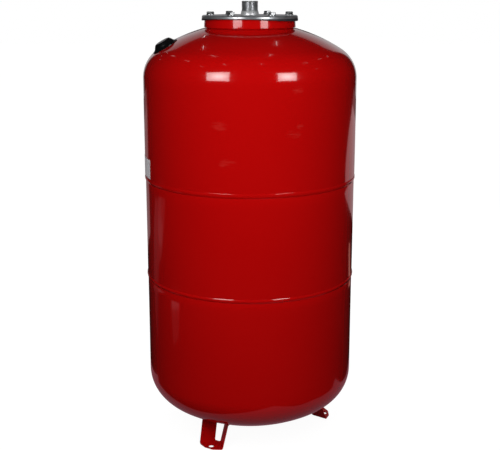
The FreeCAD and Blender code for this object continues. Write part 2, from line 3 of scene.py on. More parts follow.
import bpy
import bmesh
import numpy as np
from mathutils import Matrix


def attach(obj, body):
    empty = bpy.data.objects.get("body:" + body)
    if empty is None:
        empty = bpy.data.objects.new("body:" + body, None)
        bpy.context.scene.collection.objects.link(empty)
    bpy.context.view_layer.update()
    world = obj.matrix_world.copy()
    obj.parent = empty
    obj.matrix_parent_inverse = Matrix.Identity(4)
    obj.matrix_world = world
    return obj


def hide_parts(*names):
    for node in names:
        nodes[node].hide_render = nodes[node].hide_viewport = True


# Expansion tank, dressed for its picture. Metres, +Z up, front towards -Y.
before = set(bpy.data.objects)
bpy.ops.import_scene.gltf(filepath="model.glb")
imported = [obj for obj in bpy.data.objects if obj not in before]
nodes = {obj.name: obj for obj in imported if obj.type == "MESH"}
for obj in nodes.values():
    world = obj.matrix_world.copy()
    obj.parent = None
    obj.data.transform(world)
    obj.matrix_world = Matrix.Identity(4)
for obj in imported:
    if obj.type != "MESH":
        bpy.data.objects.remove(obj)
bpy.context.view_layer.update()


# ---- Camera
# A lens a little longer than normal, just above the flange and looking down at the tank. The
# picture is shifted so that it holds the feet.
LOOKS_DOWN = 0.2045                               # radians below level
camera_data = bpy.data.cameras.new("camera")
camera_data.sensor_width = 36.0
camera_data.sensor_fit = "HORIZONTAL"
camera_data.lens = 64.48
camera_data.shift_x, camera_data.shift_y = 0.0003, -0.09
camera = bpy.data.objects.new("camera", camera_data)
camera.location = (0.0, -1.828, 0.9069)
camera.rotation_euler = (math.pi / 2 - LOOKS_DOWN, 0.0, 0.0)
bpy.context.scene.collection.objects.link(camera)
bpy.context.scene.camera = camera


# ---- Lower shell
# Deep-drawn dome and wall in 1.5 mm sheet steel, necked at its top end to slip into the ring,
# then sprayed with glossy red enamel with all the other steel that shows.
SHEET = 0.0015
KNUCKLE, CROWN = 0.068, 0.344                     # small and large radius of both domes, outside
KNUCKLE_STEPS, CROWN_STEPS = 20, 28
LOWER_R, LOWER_TANGENT = 0.2145, 0.1245           # wall, and the height where the dome begins
RING_R, LOWER_LAP = 0.215, 0.336                  # middle ring, and the height of its lower edge
LAP_PLAY, LAP_LENGTH = 0.0001, 0.012              # radial play of a necked end, and its reach
NECK_END, NECK_START = 0.001, 0.003               # slope to a necked end, below the lap's edge
RED_DEEP, RED_BRIGHT = (0.50, 0.0014, 0.0014, 1.0), (0.54, 0.0024, 0.0022, 1.0)
RED_PALE_PATCH = (0.72, 0.14, 0.11, 1.0)
ORANGE_PEEL = 0.000006                            # depth of the paint's own relief
SAME_POINT, NO_LENGTH = 1e-6, 1e-7                # points this close are one; edges this short go


class Link:
    """A node's output in a maths expression; each operator adds one Math node."""

    def __init__(self, finish, socket):
        self.finish, self.socket = finish, socket

    def maths(self, operation, a, b):
        return self.finish.node("Math", {"operation": operation}, {0: a, 1: b})

    def __add__(self, other): return self.maths("ADD", self, other)
    def __radd__(self, other): return self.maths("ADD", other, self)
    def __sub__(self, other): return self.maths("SUBTRACT", self, other)
    def __rsub__(self, other): return self.maths("SUBTRACT", other, self)
    def __mul__(self, other): return self.maths("MULTIPLY", self, other)
    def __rmul__(self, other): return self.maths("MULTIPLY", other, self)
    def __truediv__(self, other): return self.maths("DIVIDE", self, other)
    def __rtruediv__(self, other): return self.maths("DIVIDE", other, self)
    def __pow__(self, other): return self.maths("POWER", self, other)


class Finish:
    """A material under construction, with one method that adds any node."""

    def __init__(self, name):
        self.material = bpy.data.materials.new(name)
        self.material.use_nodes = True
        self.tree = self.material.node_tree
        self.tree.nodes.clear()

    def node(self, kind, settings={}, sockets={}, output=0):
        """Adds a node, sets its settings, then its sockets, and hands back one of its outputs."""
        made = self.tree.nodes.new("ShaderNode" + kind)
        for key, value in settings.items():
            setattr(made, key, value)
        for key, value in sockets.items():
            if isinstance(value, Link):
                self.tree.links.new(value.socket, made.inputs[key])
            else:
                made.inputs[key].default_value = value
        return Link(self, made.outputs[output]) if len(made.outputs) else None

    def place(self):
        """The point on the surface in the object's own metres."""
        return self.node("TexCoord", output=3)

    def parts_of(self, vector):
        """The x, y and z of a vector."""
        split = self.node("SeparateXYZ", {}, {0: vector})
        return [Link(self, output) for output in split.socket.node.outputs]

    def noise(self, scale, detail=2.0, roughness=0.5, where=None):
        """Fractal noise between 0 and 1, with so many cells in a metre."""
        return self.node("TexNoise", {}, {"Vector": where or self.place(), "Scale": scale,
                                          "Detail": detail, "Roughness": roughness})

    def fade(self, value, low, high, smooth=True):
        """0 below low, 1 above high and a smooth or straight rise between them."""
        kind = "SMOOTHSTEP" if smooth else "LINEAR"
        return self.node("MapRange", {"interpolation_type": kind},
                         {"Value": value, "From Min": low, "From Max": high})

    def mix(self, factor, a, b):
        """Colour a where the factor is 0 and colour b where it is 1."""
        return self.node("Mix", {"data_type": "RGBA"}, {0: factor, 6: a, 7: b}, output=2)

    def bump(self, height, depth, under=None):
        """Normal of a relief; height runs from 0 to 1 over a depth in metres, on the one under."""
        relief = {"Height": height, "Strength": 1.0, "Distance": depth}
        if under:
            relief["Normal"] = under
        return self.node("Bump", {}, relief)

    def surface(self, **sockets):
        """The finished surface, and the material that is ready to put on a piece."""
        named = {key.replace("_", " "): value for key, value in sockets.items()}
        shader = self.node("BsdfPrincipled", {}, named)
        self.node("OutputMaterial", {}, {"Surface": shader})
        return self.material


def red_enamel(name, weld_ripple=0.0, pale_patch_places=(), gloss=1.0):
    """Glossy red enamel: a slight orange-peel relief and a colour that is a little uneven.

    weld_ripple is the depth of a bead's ripple that shows through the paint. pale_patch_places are
    ovals (x, z, half width, half height) on the front, where the paint is paler, pinker and
    rougher in level streaks. gloss below 1 gives a thin, duller coat.
    """
    finish = Finish(name)
    patches = finish.noise(6.0, detail=3.0)
    red = finish.mix(patches, RED_DEEP, RED_BRIGHT)
    normal = finish.bump(finish.noise(150.0, detail=1.0), ORANGE_PEEL)
    if weld_ripple:
        normal = finish.bump(finish.noise(420.0), weld_ripple, normal)
    rough = 0.10 + 0.05 * patches + 0.35 * (1.0 - gloss)
    if pale_patch_places:
        # Ovals on the front, where the paint is paler, pinker and rougher in level streaks.
        x, y, z = finish.parts_of(finish.place())
        front = finish.fade(0.0 - y, 0.0, 0.02)
        pale_share = 0.0
        for middle_x, middle_z, half_width, half_height in pale_patch_places:
            across, up = (x - middle_x) / half_width, (z - middle_z) / half_height
            pale_share = (1.0 - finish.fade(across * across + up * up, 0.0, 1.0)) * front + pale_share
        drawn_out = finish.node("VectorMath", {"operation": "MULTIPLY"},
                                {0: finish.place(), 1: (30.0, 30.0, 330.0)})
        streaks = finish.noise(1.0, detail=3.0, roughness=0.6, where=drawn_out)
        pale_share = pale_share * finish.fade(streaks, 0.42, 0.72)
        red = finish.mix(pale_share * 0.16, red, RED_PALE_PATCH)
        rough = rough + 0.10 * pale_share
    return finish.surface(Base_Color=red, Roughness=rough, Normal=normal, IOR=1.5,
                          Specular_IOR_Level=0.2 + 0.3 * gloss, Coat_Weight=gloss,
                          Coat_Roughness=0.02, Coat_IOR=1.5)


def arc(centre, radius, start, end, steps):
    """Points (r, z) on a circle: centre plus radius times (cos, sin) of even steps of degrees."""
    turn = np.radians(np.linspace(start, end, steps))
    return np.stack([centre[0] + radius * np.cos(turn), centre[1] + radius * np.sin(turn)], -1)


def run(*corners, steps=1):
    """Points (r, z) on straight runs between corners, each run cut in equal steps."""
    corners = np.array(corners, float)
    share = np.arange(steps)[:, None] / steps
    pieces = [a + share * (b - a) for a, b in zip(corners, corners[1:])]
    return np.concatenate(pieces + [corners[-1:]])


def dome(wall_r, tangent_z, side, inset, end_r):
    """Points (r, z) from the top of a wall over the knuckle and along the crown to end_r.

    Two circles that touch: the knuckle's centre is KNUCKLE inside the wall, the crown's is on the
    axis. side is 1 for a dome on top and -1 for one below. inset moves the line inwards by the
    sheet.
    """
    drop = math.sqrt((CROWN - KNUCKLE) ** 2 - (wall_r - KNUCKLE) ** 2)
    meet = math.degrees(math.asin(drop / (CROWN - KNUCKLE)))
    stop = math.degrees(math.acos(end_r / (CROWN - inset)))
    small = arc((wall_r - KNUCKLE, tangent_z), KNUCKLE - inset, 0, side * meet, KNUCKLE_STEPS)
    large = arc((0.0, tangent_z - side * drop), CROWN - inset, side * meet, side * stop,
                CROWN_STEPS)
    return np.concatenate([small, large[1:]])


def necked(wall_r, outer_r, edge_z):
    """Points (r, z) of a wall that is necked to slip into the sheet above, outside then inside."""
    neck_r = outer_r - SHEET - LAP_PLAY
    outside = [(wall_r, edge_z - NECK_START), (neck_r, edge_z - NECK_END),
               (neck_r, edge_z + LAP_LENGTH)]
    inside = [(r - SHEET, z) for r, z in reversed(outside)]
    return outside, inside


def piece_from(name, grids, material, node, sharp=35.0):
    """Mesh piece from grids of points [i, j], which stands for a CAD node and rides on the tank.

    Each cell of four neighbours becomes a face. With each grid comes whether its two directions
    join their last row to their first. Points that coincide, such as a pole's, become one.
    """
    points, cells, used = [], [], 0
    for grid, closed in grids:
        rows, columns = grid.shape[:2]
        i, j = np.meshgrid(np.arange(rows - (not closed[0])), np.arange(columns - (not closed[1])),
                           indexing="ij")
        k, l = (i + 1) % rows, (j + 1) % columns
        cell = np.stack([i * columns + j, i * columns + l, k * columns + l, k * columns + j], -1)
        points.append(grid.reshape(-1, 3))
        cells.append(cell.reshape(-1, 4) + used)
        used += rows * columns
    mesh = bpy.data.meshes.new(name)
    mesh.from_pydata(np.concatenate(points), [], np.concatenate(cells))
    work = bmesh.new()
    work.from_mesh(mesh)
    bmesh.ops.remove_doubles(work, verts=work.verts, dist=SAME_POINT)
    bmesh.ops.dissolve_degenerate(work, edges=work.edges, dist=NO_LENGTH)
    bmesh.ops.recalc_face_normals(work, faces=work.faces)
    work.to_mesh(mesh)
    work.free()
    mesh.shade_smooth()
    mesh.set_sharp_from_angle(angle=math.radians(sharp))
    mesh.materials.append(material)
    piece = bpy.data.objects.new(name, mesh)
    bpy.context.scene.collection.objects.link(piece)
    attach(piece, "root")
    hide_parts(node)


def turned(profile, steps=160):
    """Grid of points for a surface of revolution: each (r, z) goes round Z in even steps."""
    turn = np.arange(steps) * 2 * math.pi / steps
    r, z = profile[:, 0, None], profile[:, 1, None]
    return np.stack([r * np.cos(turn), r * np.sin(turn), z + 0 * turn], -1)


outside, inside = necked(LOWER_R, RING_R, LOWER_LAP)
lower_outer = dome(LOWER_R, LOWER_TANGENT, -1, 0.0, 0.0)[::-1]
lower_inner = dome(LOWER_R, LOWER_TANGENT, -1, SHEET, 0.0)
lower_profile = np.concatenate([
    lower_outer, run(lower_outer[-1], outside[0], steps=12)[1:], run(*outside)[1:],
    run(*inside), run(inside[-1], lower_inner[0], steps=4)[1:], lower_inner[1:]])
shell_paint = red_enamel("red_enamel_shell")
piece_from("lower_shell_red", [(turned(lower_profile), (False, True))], shell_paint,
           "lower_shell")


# ---- Middle ring
# Sheet rolled round and welded along its height, necked at its top end like the lower shell,
# which it covers at its lower edge.
UPPER_R, UPPER_LAP = 0.216, 0.540                 # upper shell, and the height of its lower edge
outside, inside = necked(RING_R, UPPER_R, UPPER_LAP)
ring_profile = np.concatenate([
    run((RING_R, LOWER_LAP), outside[0], steps=10), run(*outside)[1:],
    run(*inside), run(inside[-1], (RING_R - SHEET, LOWER_LAP), steps=4)[1:]])
piece_from("middle_ring_red", [(turned(ring_profile), (True, True))], shell_paint,
           "middle_ring")


# ---- Girth welds
# Two machine-laid weld beads over the laps, painted over with the shells. Their ripple shows
# through the paint.
BEAD_STEPS = 12


def girth_bead(outer_r, inner_r, edge_z, up, down, proud):
    """Closed profile of a bead, which reaches up and down from the lap's edge.

    Its swell is the circle through its foot on the inner sheet, its top on the outer one and a
    point halfway up that stands proud of the outer one. The rest lies in the lap.
    """
    neck_r = outer_r - SHEET - LAP_PLAY
    foot, top = (inner_r, edge_z - down), (outer_r, edge_z + up)
    swell = (outer_r + proud, edge_z + (up - down) / 2)
    ends = np.array([foot, top, swell])
    rows = np.stack([2 * (ends[2] - ends[0]), 2 * (ends[2] - ends[1])])
    squares = (ends ** 2).sum(1)
    centre = np.linalg.solve(rows, [squares[2] - squares[0], squares[2] - squares[1]])
    radius = np.hypot(*(ends[0] - centre))
    angles = np.degrees(np.arctan2(ends[:2, 1] - centre[1], ends[:2, 0] - centre[0]))
    swelling = arc(centre, radius, angles[0], angles[1], BEAD_STEPS)
    hidden = run(top, (outer_r, edge_z), (neck_r, edge_z), (neck_r, edge_z - NECK_END),
                 (inner_r, edge_z - NECK_START))
    return np.concatenate([swelling, hidden[1:]])


weld_paint = red_enamel("red_enamel_weld", weld_ripple=0.00005)
lower_bead = girth_bead(RING_R, LOWER_R, LOWER_LAP, up=0.0038, down=0.0038, proud=0.0014)
upper_bead = girth_bead(UPPER_R, RING_R, UPPER_LAP, up=0.005, down=0.004, proud=0.0008)
piece_from("lower_girth_weld_red", [(turned(lower_bead), (True, True))], weld_paint,
           "lower_girth_weld")
piece_from("upper_girth_weld_red", [(turned(upper_bead), (True, True))], weld_paint,
           "upper_girth_weld")


# ---- Upper shell
# Deep-drawn wall and dome with a neck drawn up for the opening. On the front of its wall the
# paint is paler, pinker and rougher in a few small patches of level streaks.
UPPER_TANGENT = 0.7422                            # height where the dome begins
NECK_R, NECK_TOP = 0.0891, 0.8547
PALE_PATCH_PLACES = [(-0.056, 0.672, 0.020, 0.011), (0.081, 0.655, 0.016, 0.010),
                 (0.088, 0.735, 0.012, 0.010), (0.093, 0.668, 0.008, 0.007),
                 (-0.040, 0.600, 0.020, 0.012)]
upper_outer = dome(UPPER_R, UPPER_TANGENT, 1, 0.0, NECK_R)
upper_inner = dome(UPPER_R, UPPER_TANGENT, 1, SHEET, NECK_R - SHEET)
upper_profile = np.concatenate([
    run((UPPER_R, UPPER_LAP), upper_outer[0], steps=12), upper_outer[1:],
    run((NECK_R, NECK_TOP), (NECK_R - SHEET, NECK_TOP)), upper_inner[::-1],
    run(upper_inner[0], (UPPER_R - SHEET, UPPER_LAP), steps=4)[1:]])
dome_paint = red_enamel("red_enamel_dome", pale_patch_places=PALE_PATCH_PLACES)
piece_from("upper_shell_red", [(turned(upper_profile), (True, True))], dome_paint,
           "upper_shell")


# ---- Collar of the opening
# Turned ring with a thick sealing face, pressed over the drawn neck and welded inside. Six nuts
# are welded under its face.
FLAT_WITHIN = 0.4                                 # degrees; flatter edges are taken out of a copy
SCALE_DARK, SCALE_PALE = (0.16, 0.155, 0.15, 1.0), (0.34, 0.33, 0.32, 1.0)


def copy_of(node, name, material, bevel=0.0, sharp=32.0):
    """A CAD node's mesh with its loose triangles merged, its edges softened and a new finish.

    bevel is the width of a softened edge. Edges where faces turn by more than sharp degrees are
    the ones that stay crisp or are softened.
    """
    mesh = bpy.data.meshes.new(name)
    work = bmesh.new()
    work.from_mesh(nodes[node].data)
    bmesh.ops.remove_doubles(work, verts=work.verts, dist=SAME_POINT)
    bmesh.ops.dissolve_limit(work, angle_limit=math.radians(FLAT_WITHIN), verts=work.verts,
                             edges=work.edges)
    work.to_mesh(mesh)
    work.free()
    mesh.shade_smooth()
    mesh.set_sharp_from_angle(angle=math.radians(sharp))
    mesh.materials.append(material)
    piece = bpy.data.objects.new(name, mesh)
    bpy.context.scene.collection.objects.link(piece)
    if bevel:
        soft = piece.modifiers.new("soft_edges", "BEVEL")
        soft.width, soft.segments, soft.limit_method = bevel, 2, "ANGLE"
        soft.angle_limit = math.radians(sharp)
        soft.harden_normals = True
    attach(piece, "root")
    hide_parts(node)
    return piece


def repaint(node, material):
    """Gives a CAD node that stays as it is its finish."""
    mesh = nodes[node].data
    mesh.materials.clear()
    mesh.materials.append(material)


def bare_steel(name):
    """Mill-finish steel with a dark scale and a soft sheen."""
    finish = Finish(name)
    scale = finish.noise(180.0, detail=4.0, roughness=0.6)
    return finish.surface(Base_Color=finish.mix(scale, SCALE_DARK, SCALE_PALE), Metallic=0.85,
                          Roughness=0.38 + 0.25 * scale, Normal=finish.bump(scale, 0.00003))


copy_of("neck_collar", "neck_collar_red", shell_paint)
steel = bare_steel("bare_steel_scale")
for hidden_steel in ("collar_weld", "nipple_weld", "weld_nuts"):
    repaint(hidden_steel, steel)


# ---- Flange
# Stamped disc with a turned-down rim, zinc plated. The plating is softly cloudy, and a painted
# shade darkens it along the rim's lower edge.
FLANGE_PALE, FLANGE_GREY = (0.82, 0.84, 0.86, 1.0), (0.60, 0.62, 0.65, 1.0)
# Up to this height the rim's lower edge is near-black and duller: a painted shade.
FLANGE_SHADE_TOP, FLANGE_PAINTED_SHADE = 0.8604, (0.06, 0.06, 0.07, 1.0)
FOOT_FADE = 0.0008                                # half the height over which a foot's tone fades


def zinc(name, pale, grey, rough, metal, grain=0.000012, foot=None):
    """Bright zinc plate: cloudy in tone and in gloss, over the fine grain of the steel in metres.

    foot is a height, and the colour, roughness and metal share of the plating under it. Its colour
    is painted: a painted shade on the flange's rim and a painted brightening on the nipple's hub.
    """
    finish = Finish(name)
    cloud = finish.noise(38.0, detail=4.0, roughness=0.55)
    colour = finish.mix(finish.fade(cloud, 0.30, 0.70), grey, pale)
    if foot:
        # The colour under the foot's height is painted: shade on the rim, brightening on the hub.
        top, foot_painted_tone, foot_rough, foot_metal = foot
        height = finish.parts_of(finish.place())[2]
        above = finish.fade(height, top - FOOT_FADE, top + FOOT_FADE)
        colour = finish.mix(above, foot_painted_tone, colour)
        metal = foot_metal + (metal - foot_metal) * above
        rough = foot_rough + (rough - foot_rough) * above
    return finish.surface(Base_Color=colour, Metallic=metal, Roughness=rough + 0.12 * cloud,
                          Normal=finish.bump(finish.noise(800.0), grain))


# The near-black band along the rim's lower edge is a painted shade.
flange_zinc = zinc("flange_zinc_plate", FLANGE_PALE, FLANGE_GREY, rough=0.28, metal=0.87,
                   foot=(FLANGE_SHADE_TOP, FLANGE_PAINTED_SHADE, 0.6, 0.6))
copy_of("flange_plate", "flange_plate_zinc", flange_zinc)


# ---- Water nipple
# Turned steel nipple, one inch pipe thread of 11 turns to the inch, on a plain hub, zinc plated
# and welded through the flange.
THREAD_R, THREAD_PITCH, THREAD_DEPTH = 0.01662, 0.0254 / 11, 0.0010
THREAD_FLANK, THREAD_FLAT = 0.36, 0.14            # flank in pitches, and flat crest in flanks
THREAD_RISE, THREAD_FALL = 0.0022, 0.0008         # heights over which its depth grows and ends
TIP_CHAMFER, HUB_CHAMFER = 0.0012, 0.0008
BORE_R, HUB_R, HUB_FOOT_R, SPIGOT_R = 0.0136, 0.0174, 0.0182, 0.0164
NIPPLE_FOOT, FLANGE_TOP, HUB_TOP, NIPPLE_TOP = 0.8612, 0.8662, 0.8740, 0.8939
NIPPLE_PALE, NIPPLE_GREY = (0.84, 0.85, 0.86, 1.0), (0.66, 0.67, 0.69, 1.0)
# The hub's colour is paler than the thread's plating: a painted brightening.
HUB_PAINTED_BRIGHT = (0.90, 0.91, 0.92, 1.0)


def threaded_nipple(columns=96, across=10):
    """Grids of the nipple: foot and hub, a helical thread, then the chamfer and the bore.

    The thread is one long strip: i goes round the helix, j across one pitch. The height is the
    pitch times (i / columns + j / across), cut off at both ends. The radius is the crest's less
    the depth times a flat-topped wave across the pitch, which fades in above the hub.
    """
    foot = turned(run((BORE_R, NIPPLE_FOOT), (SPIGOT_R, NIPPLE_FOOT), (SPIGOT_R, FLANGE_TOP),
                      (HUB_FOOT_R, FLANGE_TOP), (HUB_R, HUB_TOP - HUB_CHAMFER),
                      (THREAD_R, HUB_TOP)), columns)
    end = NIPPLE_TOP - TIP_CHAMFER
    turns = int((end - HUB_TOP) / THREAD_PITCH) + 2
    i, j = np.meshgrid(np.arange(turns * columns + 1), np.arange(across + 1), indexing="ij")
    angle = i * 2 * math.pi / columns
    share = j / across
    z = HUB_TOP + THREAD_PITCH * (i / columns + share - 1)
    wave = np.clip((0.5 - np.abs(share - 0.5)) / THREAD_FLANK - THREAD_FLAT, 0, 1)
    rise = np.clip((z - HUB_TOP) / THREAD_RISE, 0, 1)
    r = THREAD_R - THREAD_DEPTH * wave * rise * np.clip((end - z) / THREAD_FALL, 0, 1)
    z = np.clip(z, HUB_TOP, end)
    thread = np.stack([r * np.cos(angle), r * np.sin(angle), z], -1)
    bore = turned(run((THREAD_R, end), (THREAD_R - TIP_CHAMFER, NIPPLE_TOP), (BORE_R, NIPPLE_TOP),
                      (BORE_R, NIPPLE_FOOT)), columns)
    return [(foot, (False, True)), (thread, (False, False)), (bore, (False, True))]


# Under HUB_TOP the hub takes a paler colour: a painted brightening.
nipple_zinc = zinc("nipple_zinc_plate", NIPPLE_PALE, NIPPLE_GREY, rough=0.28, metal=0.92,
                   grain=0.000003, foot=(HUB_TOP, HUB_PAINTED_BRIGHT, 0.36, 0.6))
piece_from("water_nipple_zinc", threaded_nipple(), nipple_zinc, "water_nipple",
           sharp=50.0)


# ---- Membrane
# Moulded rubber bag, hung through the collar by its neck, with its lip clamped under the flange.
# It holds the water; the gas lies round it.
BAG_WALL, BAG_R, BAG_SHOULDER, BAG_BEND = 0.0025, 0.145, 0.105, 0.014
BAG_NECK_R, BAG_NECK_Z, BAG_BOTTOM = 0.0634, 0.8397, 0.1894
LIP_R, COLLAR_TOP, FLANGE_UNDER = 0.0910, 0.8597, 0.8632
RUBBER_DARK, RUBBER_BLOOM = (0.018, 0.018, 0.019, 1.0), (0.040, 0.040, 0.042, 1.0)
BEND_STEPS, ROUND_STEPS = 10, 24


def rubber(name):
    """Matt black rubber with the fine grain of its mould and a little bloom."""
    finish = Finish(name)
    bloom = finish.noise(14.0, detail=4.0)
    return finish.surface(Base_Color=finish.mix(bloom, RUBBER_DARK, RUBBER_BLOOM),
                          Roughness=0.62 + 0.2 * bloom, Specular_IOR_Level=0.35,
                          Normal=finish.bump(finish.noise(900.0), 0.00003))


def bag_line(inset):
    """Points (r, z) of the bag: an outward bend under the neck, a round shoulder and a round end.

    The bend's and the shoulder's circles touch, so the line between their centres makes the slope
    where one turns into the other. inset moves the line into the rubber.
    """
    bend_centre = (BAG_NECK_R + BAG_BEND, BAG_NECK_Z)
    across = bend_centre[0] - (BAG_R - BAG_SHOULDER)
    reach = BAG_SHOULDER + BAG_BEND
    slope = math.degrees(math.acos(across / reach))
    shoulder_centre = (BAG_R - BAG_SHOULDER, BAG_NECK_Z - math.sqrt(reach ** 2 - across ** 2))
    bend = arc(bend_centre, BAG_BEND + inset, 180, 180 + slope, BEND_STEPS)
    shoulder = arc(shoulder_centre, BAG_SHOULDER - inset, slope, 0, ROUND_STEPS)
    end = arc((0.0, BAG_BOTTOM + BAG_R), BAG_R - inset, 0, -90, ROUND_STEPS)
    return np.concatenate([bend, shoulder[1:], end])


lip = run((BAG_NECK_R - BAG_WALL, FLANGE_UNDER), (LIP_R, FLANGE_UNDER), (LIP_R, COLLAR_TOP),
          (BAG_NECK_R, COLLAR_TOP))
bag_profile = np.concatenate([bag_line(BAG_WALL)[::-1], lip, bag_line(0.0)])
piece_from("membrane_rubber", [(turned(bag_profile, 96), (False, True))],
           rubber("bag_rubber_grain"), "membrane")


# ---- Flange bolts and washers
# Six zinc-plated hexagon bolts on plain washers, through the flange into the nuts under the
# collar. Tightening leaves their heads turned each its own way.
BOLT_CIRCLE, FIRST_BOLT, NEXT_BOLT = 0.0792, math.radians(-57.3), math.radians(60.0)
HEAD_TURNS = -np.radians([13.5, 32.7, 13.5, 13.5, 32.7, 13.5])
BOLT_PALE, BOLT_GREY = (0.78, 0.79, 0.80, 1.0), (0.46, 0.47, 0.48, 1.0)


def turn_heads(bolts):
    """Turns each bolt about its own axis.

    The bolt a point belongs to is its angle round Z, less the first bolt's, in steps from one bolt
    to the next. As complex numbers, the point less its bolt's axis is multiplied by e to the i
    times the turn.
    """
    mesh = bolts.data
    points = np.empty(len(mesh.vertices) * 3)
    mesh.vertices.foreach_get("co", points)
    points = points.reshape(-1, 3)
    angle = np.arctan2(points[:, 1], points[:, 0])
    bolt = np.round((angle - FIRST_BOLT) / NEXT_BOLT).astype(int) % len(HEAD_TURNS)
    axis = np.exp(1j * (FIRST_BOLT + NEXT_BOLT * bolt)) * BOLT_CIRCLE
    moved = axis + (points[:, 0] + 1j * points[:, 1] - axis) * np.exp(1j * HEAD_TURNS[bolt])
    points[:, 0], points[:, 1] = moved.real, moved.imag
    mesh.vertices.foreach_set("co", points.ravel())
    mesh.update()


bolt_zinc = zinc("fastener_zinc_plate", BOLT_PALE, BOLT_GREY, rough=0.20, metal=0.95,
                 grain=0.000003)
turn_heads(copy_of("flange_bolts", "flange_bolts_zinc", bolt_zinc,
                   bevel=0.0003, sharp=20.0))
repaint("bolt_washers", bolt_zinc)


# ---- Gas valve
# Brass valve stem with a round collar welded to the dome, a spring core and a small screw cap.
# All of it is under the cover.
BRASS_CLEAN, BRASS_TARNISHED = (0.72, 0.47, 0.18, 1.0), (0.42, 0.26, 0.10, 1.0)
BLACK_DEEP, BLACK_WORN = (0.0025, 0.0026, 0.0028, 1.0), (0.0060, 0.0061, 0.0063, 1.0)


def brass(name):
    """Turned brass, slightly tarnished."""
    finish = Finish(name)
    tarnish = finish.noise(160.0, detail=3.0)
    return finish.surface(Base_Color=finish.mix(tarnish, BRASS_CLEAN, BRASS_TARNISHED),
                          Metallic=1.0, Roughness=0.24 + 0.2 * tarnish,
                          Normal=finish.bump(tarnish, 0.00001))


def moulded_black(name, rough):
    """Moulded black plastic with a fine even grain."""
    finish = Finish(name)
    worn = finish.noise(60.0, detail=3.0)
    return finish.surface(Base_Color=finish.mix(worn, BLACK_DEEP, BLACK_WORN),
                          Roughness=rough + 0.10 * worn, Specular_IOR_Level=0.3,
                          Normal=finish.bump(finish.noise(1400.0), 0.000006))


valve_brass = brass("valve_brass_turned")
repaint("gas_valve_body", valve_brass)
repaint("gas_valve_core", valve_brass)
repaint("gas_valve_weld", weld_paint)
repaint("valve_dust_cap", moulded_black("cap_plastic_black", 0.30))


# ---- Valve cover
# Black moulded hat, clipped over the gas valve, with a brim that follows the dome.
copy_of("valve_cover", "valve_cover_black", moulded_black("cover_plastic_black", 0.22))


# ---- Label
# Grey film sticker, left bare, stuck round the wall of the upper shell just above its bead.
LABEL_INNER, LABEL_OUTER = UPPER_R + 0.0002, UPPER_R + 0.00045
LABEL_LOW, LABEL_HIGH = 0.5475, 0.5855
LABEL_WIDTH, LABEL_FRONT_EDGE = 0.095, math.radians(204.0)
FILM_GREY, FILM_PALE = (0.90, 0.89, 0.92, 1.0), (0.94, 0.93, 0.96, 1.0)


def film(name):
    """Satin grey film with the faint mottle of its adhesive."""
    finish = Finish(name)
    mottle = finish.noise(220.0, detail=3.0)
    return finish.surface(Base_Color=finish.mix(mottle, FILM_GREY, FILM_PALE),
                          Roughness=0.30 + 0.08 * mottle, Specular_IOR_Level=0.8,
                          Normal=finish.bump(mottle, 0.000008))


def curved_label(columns=48):
    """Grid of a thin sheet bent round the wall: the four edges of its section, along its width.

    The first and last column hold the section's middle, which closes both ends.
    """
    sweep = LABEL_WIDTH / UPPER_R
    turn = LABEL_FRONT_EDGE - sweep + sweep * np.linspace(0, 1, columns)
    radii = np.array([LABEL_INNER, LABEL_OUTER, LABEL_OUTER, LABEL_INNER])[:, None] + 0 * turn
    heights = np.array([LABEL_LOW, LABEL_LOW, LABEL_HIGH, LABEL_HIGH])[:, None] + 0 * turn
    sheet = np.stack([radii * np.cos(turn), radii * np.sin(turn), heights], -1)
    ends = sheet[:, [0, -1]].mean(0, keepdims=True).repeat(4, 0)
    return np.concatenate([ends[:, :1], sheet, ends[:, 1:]], 1)


piece_from("rating_label_grey", [(curved_label(), (True, False))], film("label_film_grey"),
           "rating_label")


# ---- Legs
# Three straps of 2.5 mm steel, each folded up into a foot and two arms and welded under the dome.
# They have a thinner, duller coat than the shells.
leg_paint = red_enamel("red_enamel_leg", gloss=0.1)
for leg in ("front_leg", "right_leg", "rear_leg"):
    copy_of(leg, leg + "_red", leg_paint, bevel=0.0004, sharp=25.0)
    repaint(leg + "_welds", weld_paint)


# ---- Floor
# Pale floor that takes the tank's soft shadow. It is lifted to white where it is looked at and
# dark where it is mirrored, since the studio's own floor was dark.
FLOOR_REACH = 15.0


def flat_cards(name, corners, material, seen=True):
    """Cards of equal corner count in one stage object; corners [card, corner] are points."""
    corners = np.array(corners, float)
    corners = corners.reshape((-1,) + corners.shape[-2:])
    faces = np.arange(corners.shape[0] * corners.shape[1]).reshape(corners.shape[:2])
    mesh = bpy.data.meshes.new(name)
    mesh.from_pydata(corners.reshape(-1, 3), [], faces)
    mesh.materials.append(material)
    cards = bpy.data.objects.new(name, mesh)
    bpy.context.scene.collection.objects.link(cards)
    cards.visible_camera = seen
    cards.visible_shadow = False
    cards.visible_diffuse = seen


